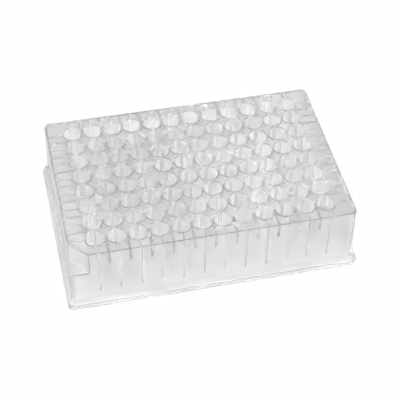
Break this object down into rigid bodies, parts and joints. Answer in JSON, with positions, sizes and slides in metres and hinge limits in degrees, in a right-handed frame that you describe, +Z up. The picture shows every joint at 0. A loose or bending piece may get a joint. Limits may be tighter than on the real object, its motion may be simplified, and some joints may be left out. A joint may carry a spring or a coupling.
{
  "type": "well plate",
  "caption": "Deep-well laboratory plate: a clear rectangular body with a skirt, a base flange, a notched corner and a grid of round wells open at the top.",
  "frame": {"origin": "centre of the base plane that the plate stands on", "axes": "+X along the long side, +Y along the short side away from the notched corner's side, +Z up out of the wells"},
  "size_m": [0.1278, 0.0854, 0.0314],
  "materials": {
    "polypropylene": "smooth, clear to slightly milky"
  },
  "bodies": {
    "root": {"well_plate": "polypropylene"}
  },
  "joints": []
}
